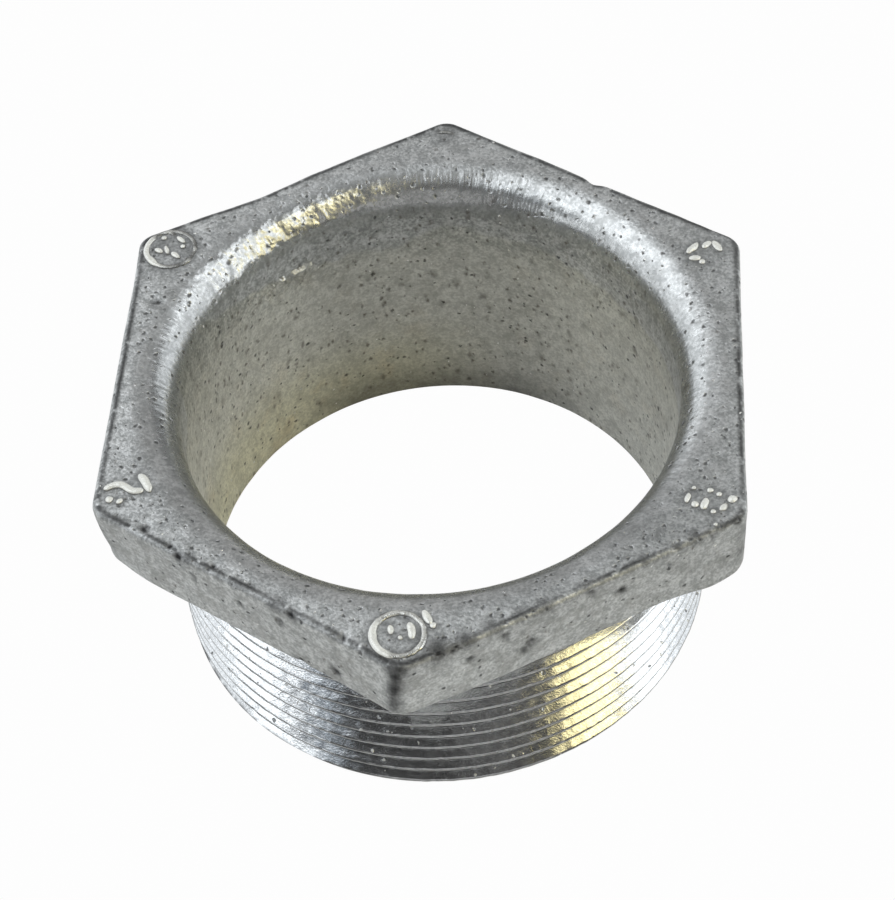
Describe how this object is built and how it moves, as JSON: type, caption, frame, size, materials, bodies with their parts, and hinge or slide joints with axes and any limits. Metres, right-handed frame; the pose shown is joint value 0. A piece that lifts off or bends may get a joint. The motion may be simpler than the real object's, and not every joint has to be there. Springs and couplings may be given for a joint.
{
  "type": "conduit chase nipple",
  "caption": "Chase nipple for rigid conduit: hexagon head with a bell-mouthed throat on an externally threaded round shank.",
  "frame": {"origin": "centre of the thread-end face, on the bore axis", "axes": "+Z along the bore from the thread end to the head; +X square to a flat of the hexagon, +Y and -Y through two of its corners"},
  "size_m": [0.0664, 0.076, 0.0342],
  "materials": {
    "zinc_plated_iron": "zinc plated malleable iron, satin, with the grain and pits of the casting"
  },
  "bodies": {
    "root": {"chase_nipple": "zinc_plated_iron"}
  },
  "joints": []
}
